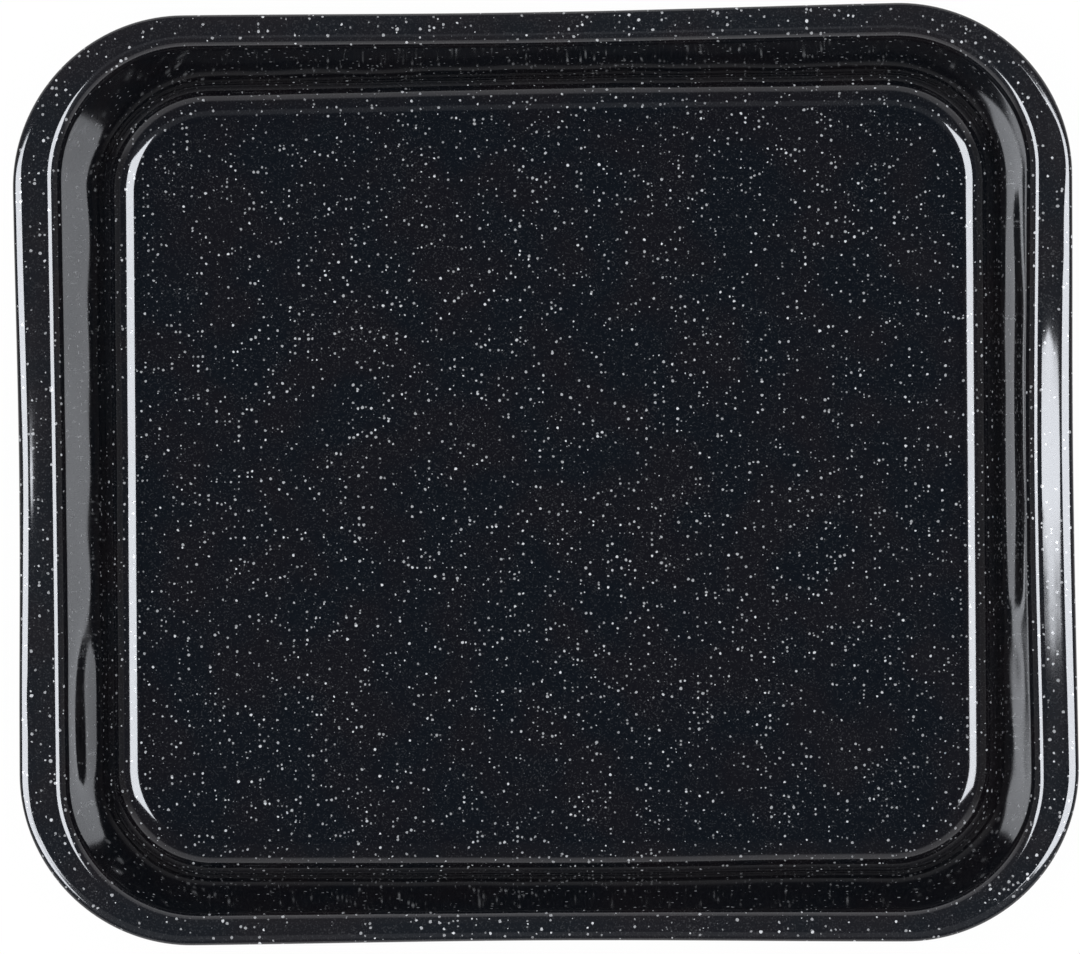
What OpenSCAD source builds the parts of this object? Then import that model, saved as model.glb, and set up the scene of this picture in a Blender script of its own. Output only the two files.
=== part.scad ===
// Shallow roasting pan, pressed from one sheet of steel and enamelled on both faces.
// A flat floor runs through a rounded base into sloping walls, then over a shoulder into a flat
// rim, which is wider at the two ends than along the sides. The edge of the rim is rolled under.
// Millimetres, +Z up. X runs along the pan and Y across it. The origin is the middle of the
// flat underside.

/* [Well] */
// Length of the well's mouth, between the lines where the flat rim starts to bend down
mouth_length = 347.4; // [260:0.2:460]
// Width of the well's mouth
mouth_width = 312.8; // [220:0.2:400]
// Corner radius of the mouth, seen from above
mouth_corner_r = 51; // [38:0.2:80]
// Depth from the top of the rim to the floor
well_depth = 60; // [30:0.5:80]
// Slope of the walls away from upright, in degrees
wall_draft = 8.5; // [4:0.5:20]
// Radius where the rim bends down into the wall, on the upper face
shoulder_r = 5.4; // [2:0.1:9]
// Radius where the wall turns into the floor, on the upper face
base_r = 12.5; // [4:0.5:16]

/* [Rim] */
// Width of the rim at the two ends, from the mouth to the outer edge
end_rim_w = 11.3; // [7:0.1:20]
// Width of the rim along the two sides, from the mouth to the outer edge
side_rim_w = 6.6; // [5:0.1:14]
// Width of the rim across the four corners, from the mouth to the outer edge
corner_rim_w = 8.7; // [6:0.1:12]
// Radius of the rolled edge, on its outer face
roll_r = 2.2; // [1.8:0.1:4]
// How far the sheet turns round the rolled edge, in degrees
roll_turn = 200; // [90:5:240]

/* [Sheet] */
// Thickness of the sheet with its enamel on both faces
sheet_t = 1; // [0.6:0.1:1.4]

/* [Hidden] */
$fn = 96;

// The wall's line cuts this far into the circles that round its two ends, so that it crosses
// them and doesn't only touch
cut_in = 0.002;

// Worked-out lengths are rounded to a thousandth, so that the pieces of the sheet that meet
// share the same corners
function thousandth(length) = round(length * 1000) / 1000;

// Height of the rim over the underside
rim_top = sheet_t + well_depth;

// The wall touches both bends and climbs what they leave of the depth
bends_r = shoulder_r + base_r;
wall_length = (well_depth - bends_r * (1 - sin(wall_draft))) / cos(wall_draft);
wall_run = thousandth(bends_r * cos(wall_draft) + wall_length * sin(wall_draft)
                      - 2 * cut_in / cos(wall_draft));

// The mouth, the outer edge, and the line on the rim where the roll begins, seen from above:
// half sizes and corner radii
mouth = [mouth_length / 2, mouth_width / 2];
edge = mouth + [end_rim_w, side_rim_w];
edge_corner_r = mouth_corner_r
                + thousandth(((end_rim_w + side_rim_w) / sqrt(2) - corner_rim_w) / (sqrt(2) - 1));
roll_start = edge - [roll_r, roll_r];
roll_start_corner_r = edge_corner_r - roll_r;

// The rim is joined from strips as wide as the sheet is thick, and each laps this far over the
// flat part between them
lap = sheet_t / 2;

// Centres of the corner arcs, of the well and of the outer edge
well_centre = mouth - [mouth_corner_r, mouth_corner_r];
edge_centre = edge - [edge_corner_r, edge_corner_r];

// Flat rounded rectangle of given half size and corner radius
module rounded_rectangle(half, r) {
    square([2 * half.x, 2 * (half.y - r)], center = true);
    square([2 * (half.x - r), 2 * half.y], center = true);
    for (sx = [-1, 1], sy = [-1, 1])
        translate([sx * (half.x - r), sy * (half.y - r)]) circle(r);
}

// The space over one face of the pressed sheet, in a section through a corner: x is measured
// outward from the corner's centre, and y upward. The face lies depth_in below the inside face,
// and the space reaches spare past the sheet's own section on every side.
module space_over(depth_in, spare) {
    slope = [cos(wall_draft), -sin(wall_draft)];
    base = [mouth_corner_r - wall_run, sheet_t + base_r];
    shoulder = [mouth_corner_r, rim_top - shoulder_r];
    floor_y = sheet_t - depth_in;
    rim_y = rim_top - depth_in;
    outside = mouth_corner_r + sheet_t + spare;
    above = rim_top + sheet_t + spare;
    difference() {
        union() {
            polygon([
                [-spare, floor_y],
                [base.x, floor_y],
                base + (base_r + depth_in - cut_in) * slope,
                shoulder - (shoulder_r - depth_in - cut_in) * slope,
                [shoulder.x, rim_y],
                [outside, rim_y],
                [outside, above],
                [-spare, above]
            ]);
            translate(base) circle(base_r + depth_in);
        }
        translate(shoulder) circle(shoulder_r - depth_in);
    }
}

// Section of the sheet from the corner's centre along the floor, up the wall and over the
// shoulder to the first strip of the flat rim
module well_section() {
    difference() {
        space_over(sheet_t, 0);
        space_over(0, sheet_t);
    }
}

// Section of the rolled edge: the last strip of the flat rim, and the sheet bent round a centre
// under it
module roll_section() {
    reach = 4 * roll_r;
    step = roll_turn / 3;
    translate([roll_start_corner_r - sheet_t, rim_top - sheet_t]) square(sheet_t);
    translate([roll_start_corner_r, rim_top - roll_r]) intersection() {
        difference() {
            circle(roll_r);
            circle(roll_r - sheet_t);
        }
        polygon(concat([[0, 0]], [for (i = [0:3]) reach * [sin(i * step), cos(i * step)]]));
    }
}

// Sweeps a section round a rounded rectangle, where centre is the centre of one corner's arc
module sweep(centre) {
    for (mx = [0, 1], my = [0, 1])
        mirror([mx, 0, 0]) mirror([0, my, 0])
            translate(centre) rotate_extrude(angle = 90) children();
    for (turn = [0, 180]) {
        rotate(turn) translate(centre) rotate([90, 0, 0])
            linear_extrude(2 * centre.y) children();
        rotate(turn) translate([-centre.x, centre.y]) rotate([90, 0, 90])
            linear_extrude(2 * centre.x) children();
    }
}

// Middle of the floor, between the corners' centres
module floor_middle() {
    translate([-well_centre.x, -well_centre.y, 0])
        cube([2 * well_centre.x, 2 * well_centre.y, sheet_t]);
}

// Flat rim between the strip round the mouth and the strip before the roll
module flat_rim() {
    translate([0, 0, rim_top - sheet_t]) linear_extrude(sheet_t) difference() {
        rounded_rectangle(roll_start - [lap, lap], roll_start_corner_r - lap);
        rounded_rectangle(mouth + [lap, lap], mouth_corner_r + lap);
    }
}

module pan() {
    color("#16181c") {
        floor_middle();
        sweep(well_centre) well_section();
        flat_rim();
        sweep(edge_centre) roll_section();
    }
}

pan();
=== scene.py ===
"""Shallow roasting pan in black, white-speckled enamel on pressed steel, seen from above.

The pan is one sheet of steel, so it is one mesh here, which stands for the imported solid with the
same sections. It adds what a press and an enamel kiln leave behind: sides that are drawn in a
little at the middle, a rim that droops at the two ends, shallow bulges in the end walls, a slight
waviness, and the enamel itself.
Lengths are metres and angles are degrees. X runs along the pan, Y across it, and +Z is up.
"""
import math

import bpy
import numpy as np
from mathutils import Matrix, Vector


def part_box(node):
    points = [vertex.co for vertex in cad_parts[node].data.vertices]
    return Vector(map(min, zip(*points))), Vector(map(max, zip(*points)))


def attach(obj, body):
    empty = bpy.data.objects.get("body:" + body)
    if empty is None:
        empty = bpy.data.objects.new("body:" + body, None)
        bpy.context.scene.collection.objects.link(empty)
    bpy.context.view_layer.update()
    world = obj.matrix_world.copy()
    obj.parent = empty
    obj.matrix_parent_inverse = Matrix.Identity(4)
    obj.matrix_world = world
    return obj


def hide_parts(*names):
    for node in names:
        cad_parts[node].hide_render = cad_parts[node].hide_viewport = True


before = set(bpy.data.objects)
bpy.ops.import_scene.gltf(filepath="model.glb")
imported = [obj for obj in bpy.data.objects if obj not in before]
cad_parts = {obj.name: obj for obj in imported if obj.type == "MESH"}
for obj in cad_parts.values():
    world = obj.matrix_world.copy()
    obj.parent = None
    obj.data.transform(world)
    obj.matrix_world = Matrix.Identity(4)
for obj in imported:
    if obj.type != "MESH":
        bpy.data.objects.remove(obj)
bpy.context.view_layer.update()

MM = 0.001

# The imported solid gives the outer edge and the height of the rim
low_corner, high_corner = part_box("pan")
EDGE = np.array([high_corner.x, high_corner.y])
RIM_TOP = high_corner.z

# The pressed sheet's other sizes
SHEET_T = 1 * MM
END_RIM_W = 11.3 * MM
SIDE_RIM_W = 6.6 * MM
CORNER_RIM_W = 8.7 * MM
MOUTH_CORNER_R = 51 * MM
WALL_DRAFT = 8.5
SHOULDER_R = 5.4 * MM
BASE_R = 12.5 * MM
ROLL_R = 2.2 * MM
ROLL_TURN = 200

# What follows from them
MOUTH = EDGE - [END_RIM_W, SIDE_RIM_W]
MOUTH_CENTRE = MOUTH - MOUTH_CORNER_R
EDGE_CORNER_R = MOUTH_CORNER_R + (
    ((END_RIM_W + SIDE_RIM_W) / math.sqrt(2) - CORNER_RIM_W) / (math.sqrt(2) - 1)
)
EDGE_CENTRE = EDGE - EDGE_CORNER_R
ROLL_START_R = EDGE_CORNER_R - ROLL_R
BENDS_R = SHOULDER_R + BASE_R
WALL_SIN = math.sin(math.radians(WALL_DRAFT))
WALL_COS = math.cos(math.radians(WALL_DRAFT))
WALL_LENGTH = (RIM_TOP - SHEET_T - BENDS_R * (1 - WALL_SIN)) / WALL_COS
WALL_RUN = BENDS_R * WALL_COS + WALL_LENGTH * WALL_SIN
FLOOR_CORNER_R = MOUTH_CORNER_R - WALL_RUN

# How finely the mesh follows them: steps round each corner and along each end and side, steps
# over the bends, the lip and the roll's two faces, and the shares of the way at which rings run
# over the floor's corners, up the wall and across the rim
CORNER_STEPS = 40
END_STEPS = 76
SIDE_STEPS = 90
BEND_STEPS = 14
LIP_STEPS = 20
ROLL_OUTER_STEPS = 12
ROLL_INNER_STEPS = 14
FLOOR_SHARES = [0.125, 0.25, 0.375, 0.5, 0.625, 0.75, 0.875, 0.975]
WALL_SHARES = [0.02, 0.14, 0.26, 0.38, 0.5, 0.62, 0.74, 0.86, 0.98]
RIM_SHARES = [0.03, 0.15, 0.28, 0.41, 0.54, 0.65, 0.71, *np.arange(0.76, 1, 0.03)]
RIM_UNDER_SHARES = [0.97, 0.75, 0.5, 0.25, 0.03]

# The rim's outer edge is squarer than a circle. The rim slopes gently down towards it, and a
# faint ridge runs along the start of that slope
ROLL_SQUARENESS = 3.4
CROWN_W = 4.0 * MM
CROWN_DROP = 0.5 * MM
RIDGE_IN = 3.6 * MM
RIDGE_W = 0.6 * MM
RIDGE_HEIGHT = 0.04 * MM

# How far the mouth and the floor lie from the middle of the outline, how much smaller the floor
# is to every side, and the width of rim over which such shifts fade out
MOUTH_SHIFT = (0.6 * MM, -0.4 * MM)
FLOOR_SHIFT = (-0.4 * MM, 0.25 * MM)
FLOOR_LESS = (0.25 * MM, 0.35 * MM)
SHIFT_FADE = 4 * MM

# The mouth is longer at the back than at the front, its back edge runs askew, and so does the
# floor; all are shares of the distance from the middle
MOUTH_TAPER = 0.0033
MOUTH_SKEW = -0.0022
FLOOR_SKEW = 0.0046

# How far the floor's long edges bow out at their middle
FLOOR_BOW = 1.0 * MM

# How far each straight stretch is drawn in at its middle, at the mouth and at the outer edge
RIGHT_DRAWN = (1.4 * MM, 0.8 * MM)
LEFT_DRAWN = (0.3 * MM, 1.0 * MM)
BACK_DRAWN = (0.9 * MM, 1.15 * MM)
FRONT_DRAWN = (0.55 * MM, 1.15 * MM)
END_DRAWN_HALF = 125 * MM
SIDE_DRAWN_HALF = 145 * MM

# How the rim droops outward at the two ends: the slope in degrees at the middle and away from
# it, where the middle is, how far it reaches, and how much steeper it gets towards the edge.
# The slope also wavers by a part of a degree
RIGHT_DROOP = (3.7, -0.6, -14 * MM, 130 * MM, 1)
LEFT_DROOP = (4.7, 0.2, 8 * MM, 95 * MM, 2)
DROOP_WAVER = 0.4

# Bulges of the two end walls: which end, the middle in Y and the reach along the wall, the
# middle and the reach up the wall as shares of the pan's height, and the depth outward
BULGES = [
    (-1, -84 * MM, 47 * MM, 0.55, 0.33, 1.3 * MM),
    (1, 21 * MM, 148 * MM, 0.62, 0.30, 1.15 * MM),
    (1, -54 * MM, 15 * MM, 0.62, 0.30, -0.45 * MM),
]

# Waviness of the sheet: its height on the rim, its depth half way up the walls, the shortest and
# longest wave, and how high the field's own crests reach
FLAT_WAVE = 0.025 * MM
WALL_WAVE = 0.12 * MM
WAVE_LENGTHS = (26 * MM, 90 * MM)
WAVE_COUNT = 28
WAVE_SEED = 11
WAVE_CREST = 2.5

# Speckles: at most one dot in each cell, the share of cells without one on the floor, on the
# walls and on the rim, and the largest dot's radius on the well and on the rim
SPECKLE_CELL = 1.62 * MM
BARE_FLOOR = 0.10
BARE_WALLS = 0.62
BARE_RIM = 0.36
SPECKLE_R = 0.54 * MM
SPECKLE_R_ON_RIM = 0.61 * MM

# How soft a dot's edge is, and how far and how finely its outline is bent
SPECKLE_SOFTNESS = 0.05 * MM
SPECKLE_BEND = 0.35 * MM
SPECKLE_BEND_SIZE = 0.7 * MM

# Powers that keep most dots small and dim, the power and share by which a large dot is brighter,
# and the dimmest tone
SIZE_POWER = 1.7
TONE_POWER = 1.9
LARGE_POWER = 4.0
LARGE_TONE = 0.5
DIMMEST_TONE = 0.15

# Dust finer than the speckles and the clouds that it gathers in, and a faint haze
DUST_SIZE = 0.3 * MM
DUST = 0.03
CLOUD_SIZE = 16 * MM
HAZE = 0.003

# The enamel's black, cold and warm in patches, a grey added to it on the rim as painted sheen,
# its white, and the roughness of its gloss
COLD_BLACK = (0.0028, 0.0038, 0.0062, 1)
WARM_BLACK = (0.0048, 0.0036, 0.0052, 1)
CAST_SIZE = 14 * MM
# Painted sheen: a grey that stands in for the rim's reflection, not the enamel's own colour
RIM_PAINTED_SHEEN = (0.0055, 0.0055, 0.0055, 1)
ENAMEL_WHITE = (0.78, 0.80, 0.84, 1)
ROUGHNESS = (0.05, 0.09)

# Ripples and swells of the fired glaze, how much stronger the swells are, how much both are
# drawn out down the walls, and their height
RIPPLE_SIZE = 2.2 * MM
SWELL_SIZE = 9 * MM
SWELL_SHARE = 2.5
RIPPLE_RUN = (1, 1, 0.22)
RIPPLE_HEIGHT = 0.005 * MM

# Camera: where it stands over the pan and the point at rim height that it looks at
CAMERA_X = 62 * MM
CAMERA_OVER_RIM = 1.3
AIM = (-0.7 * MM, -0.24 * MM)
CAMERA_TURN = 0.65
LENS = 124.6

# Softboxes, seen only in the enamel's gloss: their edges in X and in Y at their height
SOFTBOX_Z = 6.0
RIGHT_SOFTBOX = ((1.23, 4.5), (-1.65, 1.35))
LEFT_SOFTBOX = ((-2.35, -5.7), (-2.15, 1.15))
SOFTBOX_GLOW = 18.3
SOFTBOX_COLOUR = (0.95, 0.98, 1.04)

# What else the gloss mirrors: brightness by the height of the direction, which falls from bright
# to dim between the two heights of LOW_TOP
LOW_TOP = (0.45, 0.53)
STUDIO = [
    (0.00, (1.6, 1.6, 1.66)),
    (0.20, (1.5, 1.5, 1.56)),
    (0.28, (1.1, 1.1, 1.15)),
    (LOW_TOP[0], (1.0, 1.0, 1.06)),
    (LOW_TOP[1], (0.16, 0.17, 0.20)),
    (0.95, (0.12, 0.14, 0.18)),
    (1.00, (0.06, 0.09, 0.13)),
]

# The bright part is dimmed to this share towards the two ends, between these parts of the
# direction along Y
STUDIO_AT_ENDS = 0.25
ENDS = (0.55, 0.25)

# A soft glow high in front: its strength and colour, between which parts of the direction along Y
# it rises and falls, and between which heights it rises
FRONT_GLOW = 0.25
FRONT_COLOUR = (0.95, 1.0, 1.08, 1)
FRONT_START = (-0.12, -0.20)
FRONT_STOP = (-0.46, -0.40)
FRONT_HEIGHT = (0.6, 0.8)

# Soft light on the colours
SKY_ON_COLOURS = 0.4
TOP_LAMP_SIZE = 3.0
TOP_LAMP_Z = 3.0
TOP_LAMP_GLOW = 2.3

# Ground
GROUND_SIZE = 60
GROUND_Z = -0.05 * MM
GROUND_GLOW = 0.96
GROUND_SHADE = 0.05


def arc(centre, radius, start, stop, steps):
    """Points of an arc, both ends included; angles run from outward towards up."""
    turn = np.radians(np.linspace(start, stop, steps + 1))
    return np.stack([centre[0] + radius * np.cos(turn), centre[1] + radius * np.sin(turn)], axis=1)


def stretch(first, last, shares):
    """Points on a straight line at the given shares of its length."""
    first, last = np.array(first), np.array(last)
    return first + np.array(shares)[:, None] * (last - first)


def well_face(depth):
    """Section of one face from the floor to the flat rim: distance from the corner's centre, and
    height. The face lies depth under the inside face."""
    base_centre = (FLOOR_CORNER_R, SHEET_T + BASE_R)
    shoulder_centre = (MOUTH_CORNER_R, RIM_TOP - SHOULDER_R)
    base = arc(base_centre, BASE_R + depth, -90, -WALL_DRAFT, BEND_STEPS)
    shoulder = arc(shoulder_centre, SHOULDER_R - depth, 180 - WALL_DRAFT, 90, BEND_STEPS)
    wall = stretch(base[-1], shoulder[0], WALL_SHARES)
    return np.concatenate([base, wall, shoulder])


def roll_face(radius, start, stop, steps):
    """Section of one face of the rolled edge, between two turns from the top of the rim."""
    return arc((ROLL_START_R, RIM_TOP - ROLL_R), radius, 90 - start, 90 - stop, steps)


def squared_roll():
    """The roll's outer face from the top of the rim to its outermost line, squarer than a
    circle."""
    turn = np.radians(np.linspace(0, 90, LIP_STEPS + 1))
    out = np.sin(turn) ** (2 / ROLL_SQUARENESS)
    up = np.cos(turn) ** (2 / ROLL_SQUARENESS)
    return np.stack([ROLL_START_R + ROLL_R * out, RIM_TOP - ROLL_R * (1 - up)], axis=1)


def well_rings(section):
    """Rings round the well: centre of the corner's arc in x and y, its radius, and height."""
    centres = np.tile(MOUTH_CENTRE, (len(section), 1))
    return np.concatenate([centres, section], axis=1)


def edge_rings(section):
    """The same for rings round the rolled edge."""
    centres = np.tile(EDGE_CENTRE, (len(section), 1))
    return np.concatenate([centres, section], axis=1)


def rim_rings(height, shares):
    """Rings across the flat rim, at the given shares of the way from the mouth to the roll."""
    mouth = [*MOUTH_CENTRE, MOUTH_CORNER_R, height]
    roll = [*EDGE_CENTRE, ROLL_START_R, height]
    return stretch(mouth, roll, shares)


def sheet_rings():
    """All the rings round the sheet, from the floor's upper face over the rim to the underside."""
    floor_upper = stretch([0, SHEET_T], [FLOOR_CORNER_R, SHEET_T], FLOOR_SHARES)
    floor_under = stretch([0, 0], [FLOOR_CORNER_R, 0], FLOOR_SHARES)
    return np.concatenate([
        well_rings(floor_upper),
        well_rings(well_face(0)),
        rim_rings(RIM_TOP, RIM_SHARES),
        edge_rings(squared_roll()),
        edge_rings(roll_face(ROLL_R, 90, ROLL_TURN, ROLL_OUTER_STEPS)[1:]),
        edge_rings(roll_face(ROLL_R - SHEET_T, ROLL_TURN, 0, ROLL_INNER_STEPS)),
        rim_rings(RIM_TOP - SHEET_T, RIM_UNDER_SHARES),
        well_rings(well_face(SHEET_T))[::-1],
        well_rings(floor_under)[::-1],
    ])


def ring_points(centre_x, centre_y, radius):
    """Points of a rounded rectangle, the same number on every ring, from the right end's back
    corner and against the clock."""
    points = []
    for index, (sx, sy) in enumerate([(1, 1), (-1, 1), (-1, -1), (1, -1)]):
        corner = np.array([sx * centre_x, sy * centre_y])
        points.append(arc(corner, radius, 90 * index, 90 * (index + 1), CORNER_STEPS))
        steps = SIDE_STEPS if index % 2 == 0 else END_STEPS
        along = [(-sx, sy), (sx, -sy)][index % 2]
        following = np.array([along[0] * centre_x, along[1] * centre_y])
        offset = points[-1][-1] - corner
        points.append(stretch(corner + offset, following + offset, np.arange(1, steps) / steps))
    return np.concatenate(points)


def ring_loop(centre_x, centre_y, radius, height):
    """One ring's points in space."""
    flat = ring_points(centre_x, centre_y, radius)
    return np.concatenate([flat, np.full((len(flat), 1), height)], axis=1)


def floor_grid():
    """The flat middle of the floor between the corners' centres, and for each point of a ring
    the number of the grid's point that it meets."""
    xs = np.linspace(-MOUTH_CENTRE[0], MOUTH_CENTRE[0], SIDE_STEPS + 1)
    ys = np.linspace(-MOUTH_CENTRE[1], MOUTH_CENTRE[1], END_STEPS + 1)
    grid = np.stack(np.meshgrid(xs, ys), axis=-1)
    number = np.arange(grid[..., 0].size).reshape(grid.shape[:2])
    back = number[-1, ::-1]
    left = number[::-1, 0]
    front = number[0, :]
    right = number[:, -1]
    border = []
    for side in (back, left, front, right):
        border += [side[0]] * (CORNER_STEPS + 1)
        border += list(side[1:-1])
    return grid.reshape(-1, 2), number, np.array(border)


def sheet_mesh():
    """Points and faces of the whole sheet, before it is warped."""
    loops = np.stack([ring_loop(*ring) for ring in sheet_rings()])
    ring_count, ring_size = loops.shape[:2]
    grid, number, border = floor_grid()
    upper = np.concatenate([grid, np.full((len(grid), 1), SHEET_T)], axis=1)
    under = np.concatenate([grid, np.zeros((len(grid), 1))], axis=1)
    points = np.concatenate([loops.reshape(-1, 3), upper, under])
    upper_start = ring_count * ring_size
    under_start = upper_start + len(grid)
    index = np.arange(upper_start).reshape(ring_count, ring_size)
    index = np.concatenate([[upper_start + border], index, [under_start + border]])
    a, b = index[:-1], index[1:]
    quads = np.stack([a, b, np.roll(b, -1, axis=1), np.roll(a, -1, axis=1)], axis=-1)
    quads = quads.reshape(-1, 4)

    # A face that shares a corner of the floor's grid twice is a triangle, or nothing
    faces = []
    for quad in quads.tolist():
        corners = list(dict.fromkeys(quad))
        if len(corners) > 2:
            faces.append(corners)
    cells = np.stack(
        [number[:-1, :-1], number[:-1, 1:], number[1:, 1:], number[1:, :-1]], axis=-1
    ).reshape(-1, 4)
    faces += (upper_start + cells).tolist()
    faces += (under_start + cells[:, ::-1]).tolist()
    return points, faces


def hump(along, half):
    """1 at the middle of a side, falling smoothly to 0 at half to either hand."""
    return 0.5 + 0.5 * np.cos(np.pi * np.clip(np.abs(along) / half, 0, 1))


def drawn_in(points, axis, sign, amounts, half):
    """How far one side of the pan is drawn in, for each point."""
    out = sign * points[:, axis]
    at_mouth, at_edge = amounts
    width = EDGE[axis] - MOUTH[axis]
    across_rim = np.clip((out - MOUTH[axis]) / width, 0, 1)
    climbing = np.clip(points[:, 2] / RIM_TOP, 0, 1) * (out > MOUTH_CENTRE[axis])
    amount = at_mouth + (at_edge - at_mouth) * across_rim
    return -sign * amount * climbing**2 * hump(points[:, 1 - axis], half)


def droop(points, sign, shape):
    """How far the rim of one end sinks, for each point. The waver mostly lessens the slope."""
    slope, slope_away, middle, half, power = shape
    past_mouth = np.clip(sign * points[:, 0] - MOUTH[0], 0, None)
    angle = slope_away + (slope - slope_away) * hump(points[:, 1] - middle, half)
    angle += DROOP_WAVER * (waves(points, WAVE_SEED + 1) - 1)
    return -np.radians(angle) * past_mouth * (past_mouth / END_RIM_W) ** (power - 1)


def waves(points, seed):
    """A smooth random field over the sheet, about 1 high."""
    rng = np.random.default_rng(seed)
    total = np.zeros(len(points))
    for _ in range(WAVE_COUNT):
        heading = rng.normal(size=3)
        heading /= np.linalg.norm(heading)
        length = rng.uniform(*WAVE_LENGTHS)
        phase = rng.uniform(0, 2 * np.pi)
        total += np.sin(2 * np.pi * (points @ heading) / length + phase)
    return total / math.sqrt(WAVE_COUNT / 2)


def outside_of(points, centre, radius):
    """How far each point lies outside a rounded rectangle, seen from above; negative inside."""
    past = np.abs(points[:, :2]) - centre
    corner = np.hypot(*np.clip(past, 0, None).T)
    return np.where(past.max(axis=1) > 0, corner, past.max(axis=1)) - radius


def straight_out(points):
    """The direction away from the well, level, for each point."""
    out = np.sign(points[:, :2]) * np.clip(np.abs(points[:, :2]) - MOUTH_CENTRE, 0, None)
    return out / np.maximum(np.linalg.norm(out, axis=1), 1 * MM)[:, None]


def well_shift(points, height, well):
    """Where the mouth and the floor lie from where the press aimed them."""
    shift = np.zeros_like(points)
    x, y = points[:, 0], points[:, 1]
    side = np.clip(points[:, :2] / MOUTH, -1, 1)
    for axis in (0, 1):
        floor = FLOOR_SHIFT[axis] - FLOOR_LESS[axis] * side[:, axis]
        shift[:, axis] = floor + (MOUTH_SHIFT[axis] - floor) * height
    shift[:, 0] += y * (FLOOR_SKEW * (1 - height) + MOUTH_TAPER * height * side[:, 0])
    shift[:, 1] += x * MOUTH_SKEW * height * np.clip(side[:, 1], 0, None)
    bow = side[:, 1] ** 3 * FLOOR_BOW * (hump(x, SIDE_DRAWN_HALF) - 0.5)
    shift[:, 1] += bow * (1 - height)
    return shift * well[:, None]


def bulges(points, height):
    """How far the bulges push each point outward."""
    total = np.zeros(len(points))
    for sign, middle, half, middle_up, half_up, depth in BULGES:
        this_end = sign * points[:, 0] > MOUTH_CENTRE[0]
        along = hump(points[:, 1] - middle, half)
        total += this_end * depth * along * hump(height - middle_up, half_up)
    return total


def warped(points):
    """The sheet as the press and the kiln leave it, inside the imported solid's box."""
    height = np.clip(points[:, 2] / RIM_TOP, 0, 1)
    past_mouth = outside_of(points, MOUTH_CENTRE, MOUTH_CORNER_R)
    past_edge = outside_of(points, EDGE_CENTRE, EDGE_CORNER_R)
    shift = well_shift(points, height, 1 - np.clip(past_mouth / SHIFT_FADE, 0, 1) ** 2)
    shift[:, 0] += drawn_in(points, 0, 1, RIGHT_DRAWN, END_DRAWN_HALF)
    shift[:, 0] += drawn_in(points, 0, -1, LEFT_DRAWN, END_DRAWN_HALF)
    shift[:, 1] += drawn_in(points, 1, 1, BACK_DRAWN, SIDE_DRAWN_HALF)
    shift[:, 1] += drawn_in(points, 1, -1, FRONT_DRAWN, SIDE_DRAWN_HALF)
    shift[:, 2] += droop(points, 1, RIGHT_DROOP) + droop(points, -1, LEFT_DROOP)
    shift[:, 2] -= CROWN_DROP * np.clip(1 + past_edge / CROWN_W, 0, 1) ** 2
    shift[:, 2] += RIDGE_HEIGHT * np.exp(-(((past_edge + RIDGE_IN) / RIDGE_W) ** 2))

    # Waves push the walls outward and inward, and the rim down by more or less
    wave = waves(points, WAVE_SEED)
    on_wall = np.clip(-past_mouth / SHOULDER_R, 0, 1) * np.clip(1 - height, 0, 1) * height * 4
    outward = on_wall * (WALL_WAVE * wave + bulges(points, height))
    shift[:, :2] += straight_out(points) * outward[:, None]
    shift[:, 2] += height * FLAT_WAVE * (wave - WAVE_CREST)
    return np.clip(points + shift, np.array(low_corner), np.array(high_corner))


def make_pan():
    points, faces = sheet_mesh()
    mesh = bpy.data.meshes.new("enamelled_pan")
    mesh.from_pydata(warped(points).tolist(), [], faces)
    mesh.validate()
    mesh.shade_smooth()
    pan = bpy.data.objects.new("enamelled_pan", mesh)
    bpy.context.scene.collection.objects.link(pan)
    return pan


class Nodes:
    """Short ways to add nodes to a tree and join them."""

    def __init__(self, tree):
        self.tree = tree
        tree.nodes.clear()

    def add(self, kind, inputs=(), **settings):
        node = self.tree.nodes.new(kind)
        for name, value in settings.items():
            setattr(node, name, value)
        for socket, value in dict(inputs).items():
            if isinstance(value, bpy.types.NodeSocket):
                self.tree.links.new(value, node.inputs[socket])
            else:
                node.inputs[socket].default_value = value
        return node

    def math(self, operation, first, second=0.0):
        node = self.add("ShaderNodeMath", {0: first, 1: second}, operation=operation)
        return node.outputs[0]

    def noise(self, place, size, detail=2.0):
        """Noise with blobs about as wide as size."""
        return self.add(
            "ShaderNodeTexNoise", {"Vector": place, "Scale": 0.5 / size, "Detail": detail}
        ).outputs["Fac"]

    def scaled(self, vector, factors):
        """A vector with its three parts multiplied."""
        node = self.add("ShaderNodeVectorMath", {0: vector, 1: factors}, operation="MULTIPLY")
        return node.outputs[0]

    def mix(self, share, first, second, blend="MIX"):
        """Two colours, mixed or added by a share from 0 to 1."""
        return self.add(
            "ShaderNodeMix",
            {"Factor": share, 6: first, 7: second},
            data_type="RGBA",
            blend_type=blend,
        ).outputs[2]

    def between(self, value, low, high, to_low=0.0, to_high=1.0, smooth=False):
        """Maps a value from one range to another and holds it there."""
        return self.add(
            "ShaderNodeMapRange",
            {0: value, 1: low, 2: high, 3: to_low, 4: to_high},
            interpolation_type="SMOOTHSTEP" if smooth else "LINEAR",
        ).outputs[0]


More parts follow.
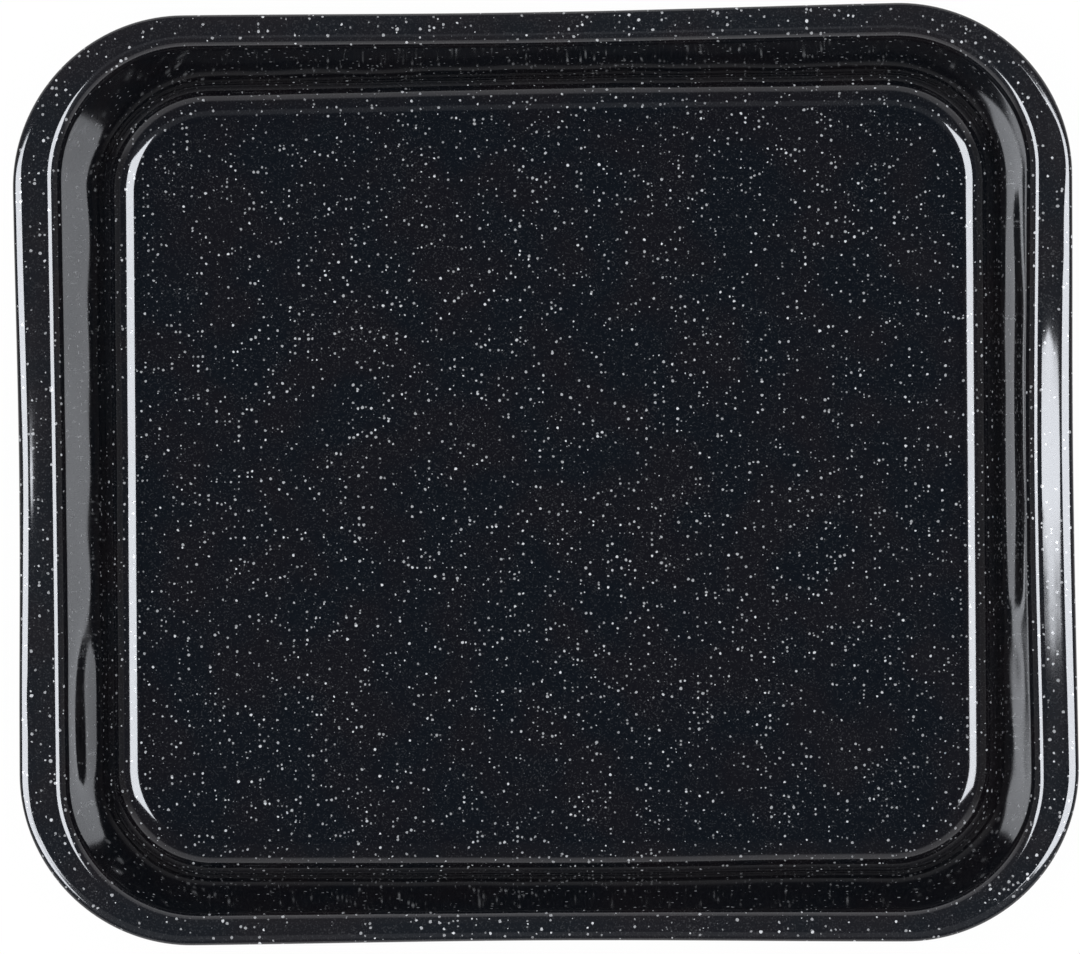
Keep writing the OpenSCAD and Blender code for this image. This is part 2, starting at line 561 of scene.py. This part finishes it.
def speckles(nodes, place, radius, bare):
    """Roundish dots of many sizes and tones, at most one in each cell. Radius is the largest
    dot's, and bare the share of the cells without one."""
    bent = nodes.add(
        "ShaderNodeTexNoise", {"Vector": place, "Scale": 1 / SPECKLE_BEND_SIZE, "Detail": 0}
    )
    bend = nodes.scaled(bent.outputs["Color"], (SPECKLE_BEND,) * 3)
    bent_place = nodes.add("ShaderNodeVectorMath", {0: place, 1: bend}).outputs[0]
    voronoi = nodes.add("ShaderNodeTexVoronoi", {"Vector": bent_place, "Scale": 1 / SPECKLE_CELL})
    chance = nodes.add("ShaderNodeSeparateColor", {0: voronoi.outputs["Color"]}).outputs
    size = nodes.between(chance[0], bare, 1)
    share = nodes.math("DIVIDE", radius, SPECKLE_CELL)
    reach = nodes.math("MULTIPLY", nodes.math("POWER", size, SIZE_POWER), share)
    softness = SPECKLE_SOFTNESS / SPECKLE_CELL
    shape = nodes.between(
        voronoi.outputs["Distance"],
        nodes.math("ADD", reach, softness),
        nodes.math("SUBTRACT", reach, softness),
        smooth=True,
    )
    large = nodes.math("MULTIPLY", nodes.math("POWER", size, LARGE_POWER), LARGE_TONE)
    tone = nodes.math("MAXIMUM", nodes.math("POWER", chance[1], TONE_POWER), large)
    tone = nodes.between(tone, 0, 1, DIMMEST_TONE, 1.0)
    return nodes.math("MULTIPLY", shape, tone)


def enamel_material():
    """Black enamel with white speckles fused into it, glossy and slightly rippled."""
    material = bpy.data.materials.new("speckled_enamel")
    material.use_nodes = True
    nodes = Nodes(material.node_tree)
    place = nodes.add("ShaderNodeTexCoord").outputs["Object"]
    height = nodes.add("ShaderNodeSeparateXYZ", {0: place}).outputs["Z"]
    normal = nodes.add("ShaderNodeNewGeometry").outputs["Normal"]
    up = nodes.add("ShaderNodeSeparateXYZ", {0: normal}).outputs["Z"]
    facing_up = nodes.math("ABSOLUTE", up)
    rim = nodes.between(height, RIM_TOP - 2 * MM, RIM_TOP - 1 * MM)

    # Speckles, sparser on the steep walls and on the rim, and dust that is finer than they are
    bare = nodes.between(facing_up, 0.2, 0.8, BARE_WALLS, BARE_FLOOR)
    bare = nodes.math("MAXIMUM", bare, nodes.math("MULTIPLY", rim, BARE_RIM))
    radius = nodes.between(rim, 0, 1, SPECKLE_R, SPECKLE_R_ON_RIM)
    dots = speckles(nodes, place, radius, bare)
    fine = nodes.noise(place, DUST_SIZE, 0.0)
    clouds = nodes.between(nodes.noise(place, CLOUD_SIZE, 3.0), 0.54, 0.72)
    dust = nodes.between(fine, 0.60, 0.82, 0.0, DUST)
    dust = nodes.math("MULTIPLY", dust, nodes.math("ADD", 0.8, clouds))
    haze = nodes.between(fine, 0.35, 0.60, 0.0, HAZE)
    white = nodes.math("MAXIMUM", dots, nodes.math("ADD", dust, haze))

    # The black has a cold and a warm cast in turns
    cast = nodes.noise(place, CAST_SIZE, 1.0)
    black = nodes.mix(nodes.between(cast, 0.4, 0.6), COLD_BLACK, WARM_BLACK)
    # On the rim a grey is added to the black: painted sheen standing in for the rim's reflection
    black_and_painted_sheen = nodes.mix(rim, black, RIM_PAINTED_SHEEN, blend="ADD")
    colour = nodes.mix(white, black_and_painted_sheen, ENAMEL_WHITE)

    # Ripples of the fired glaze, which run down the walls as drips
    running = nodes.scaled(place, RIPPLE_RUN)
    ripple = nodes.noise(running, RIPPLE_SIZE, 1.0)
    swell = nodes.noise(running, SWELL_SIZE, 0.0)
    relief = nodes.math("ADD", ripple, nodes.math("MULTIPLY", swell, SWELL_SHARE))
    bump = nodes.add(
        "ShaderNodeBump", {"Height": relief, "Distance": RIPPLE_HEIGHT, "Strength": 1.0}
    )
    shader = nodes.add(
        "ShaderNodeBsdfPrincipled",
        {
            "Base Color": colour,
            "Roughness": nodes.between(cast, 0.3, 0.7, *ROUGHNESS),
            "IOR": 1.5,
            "Normal": bump.outputs[0],
        },
    )
    nodes.add("ShaderNodeOutputMaterial", {"Surface": shader.outputs[0]})
    return material


def seen_directly(nodes):
    """1 for rays from the camera and for mirrored and transmitted ones, 0 for soft light."""
    ray = nodes.add("ShaderNodeLightPath").outputs
    straight = nodes.math("MAXIMUM", ray["Is Camera Ray"], ray["Is Transmission Ray"])
    return nodes.math("MAXIMUM", straight, ray["Is Glossy Ray"])


def ground_material():
    """White ground that still keeps a faint shadow of the pan."""
    material = bpy.data.materials.new("white_ground")
    material.use_nodes = True
    material.cycles.emission_sampling = "NONE"
    nodes = Nodes(material.node_tree)
    direct = seen_directly(nodes)
    glow = nodes.add("ShaderNodeEmission", {"Color": (1, 1, 1, 1), "Strength": GROUND_GLOW})
    shade = nodes.add("ShaderNodeBsdfDiffuse", {"Color": (GROUND_SHADE,) * 3 + (1,)})
    both = nodes.add("ShaderNodeAddShader", {0: glow.outputs[0], 1: shade.outputs[0]})
    plain = nodes.add("ShaderNodeBsdfDiffuse", {"Color": (0.8, 0.8, 0.8, 1)})
    mixed = nodes.add("ShaderNodeMixShader", {0: direct, 1: plain.outputs[0], 2: both.outputs[0]})
    nodes.add("ShaderNodeOutputMaterial", {"Surface": mixed.outputs[0]})
    return material


def make_ground():
    half = GROUND_SIZE / 2
    mesh = bpy.data.meshes.new("ground")
    corners = [(x * half, y * half, GROUND_Z) for x, y in [(-1, -1), (1, -1), (1, 1), (-1, 1)]]
    mesh.from_pydata(corners, [], [(0, 1, 2, 3)])
    mesh.materials.append(ground_material())
    ground = bpy.data.objects.new("ground", mesh)
    bpy.context.scene.collection.objects.link(ground)


def make_sky():
    """White for the camera, plain soft light for colours, and for the gloss a studio that is
    dim overhead and brighter towards the horizon."""
    world = bpy.data.worlds.new("studio")
    bpy.context.scene.world = world
    world.use_nodes = True
    nodes = Nodes(world.node_tree)
    ray = nodes.add("ShaderNodeLightPath").outputs
    heading = nodes.add("ShaderNodeTexCoord").outputs["Generated"]
    parts = nodes.add("ShaderNodeSeparateXYZ", {0: heading}).outputs
    studio = nodes.add("ShaderNodeValToRGB", {0: parts["Z"]})
    ramp = studio.color_ramp
    while len(ramp.elements) < len(STUDIO):
        ramp.elements.new(0.5)
    for element, (position, colour) in zip(ramp.elements, STUDIO):
        element.position = position
        element.color = (*colour, 1)
    sideways = nodes.math("ABSOLUTE", parts["Y"])
    low = nodes.between(parts["Z"], *LOW_TOP, 1.0, 0.0)
    towards_ends = nodes.math("MULTIPLY", low, nodes.between(sideways, *ENDS, smooth=True))
    dimming = nodes.between(towards_ends, 0, 1, 1.0, STUDIO_AT_ENDS)
    dimmed = nodes.scaled(studio.outputs[0], dimming)
    front = nodes.between(parts["Y"], *FRONT_START, 0.0, FRONT_GLOW, smooth=True)
    front = nodes.math("MULTIPLY", front, nodes.between(parts["Y"], *FRONT_STOP, smooth=True))
    front = nodes.math("MULTIPLY", front, nodes.between(parts["Z"], *FRONT_HEIGHT, smooth=True))
    mirrored = nodes.mix(front, dimmed, FRONT_COLOUR, blend="ADD")
    direct = nodes.math("MAXIMUM", ray["Is Camera Ray"], ray["Is Transmission Ray"])
    soft = nodes.mix(direct, (SKY_ON_COLOURS,) * 3 + (1,), (1, 1, 1, 1))
    shown = nodes.mix(ray["Is Glossy Ray"], soft, mirrored)
    background = nodes.add("ShaderNodeBackground", {"Color": shown})
    nodes.add("ShaderNodeOutputWorld", {"Surface": background.outputs[0]})


def area_lamp(name, x_edges, y_edges, height, glow):
    """A rectangular lamp that faces down, with its brightness given as a surface's."""
    lamp = bpy.data.lights.new(name, "AREA")
    lamp.shape = "RECTANGLE"
    lamp.size = abs(x_edges[1] - x_edges[0])
    lamp.size_y = abs(y_edges[1] - y_edges[0])
    lamp.energy = glow * math.pi * lamp.size * lamp.size_y
    lamp_object = bpy.data.objects.new(name, lamp)
    lamp_object.location = (sum(x_edges) / 2, sum(y_edges) / 2, height)
    lamp_object.visible_camera = False
    bpy.context.scene.collection.objects.link(lamp_object)
    return lamp_object


def make_lights():
    for name, edges in {"right_softbox": RIGHT_SOFTBOX, "left_softbox": LEFT_SOFTBOX}.items():
        softbox = area_lamp(name, *edges, SOFTBOX_Z, SOFTBOX_GLOW)
        softbox.data.color = SOFTBOX_COLOUR
        softbox.visible_diffuse = False
    half = TOP_LAMP_SIZE / 2
    top = area_lamp("top_lamp", (-half, half), (-half, half), TOP_LAMP_Z, TOP_LAMP_GLOW)
    top.visible_glossy = False


def make_camera():
    camera = bpy.data.objects.new("camera", bpy.data.cameras.new("camera"))
    camera.data.lens = LENS
    camera.location = (CAMERA_X, 0, RIM_TOP + CAMERA_OVER_RIM)
    aim = Vector((*AIM, RIM_TOP))
    turn = math.radians(CAMERA_TURN)
    back = (camera.location - aim).normalized()
    right = Vector((math.sin(turn), math.cos(turn), 0)).cross(back).normalized()
    up = back.cross(right)
    camera.rotation_euler = Matrix((right, up, back)).transposed().to_euler()
    bpy.context.scene.collection.objects.link(camera)
    bpy.context.scene.camera = camera


pan = make_pan()
pan.data.materials.append(enamel_material())
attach(pan, "root")
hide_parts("pan")

make_ground()
make_sky()
make_lights()
make_camera()
bpy.context.scene.view_settings.view_transform = "Standard"
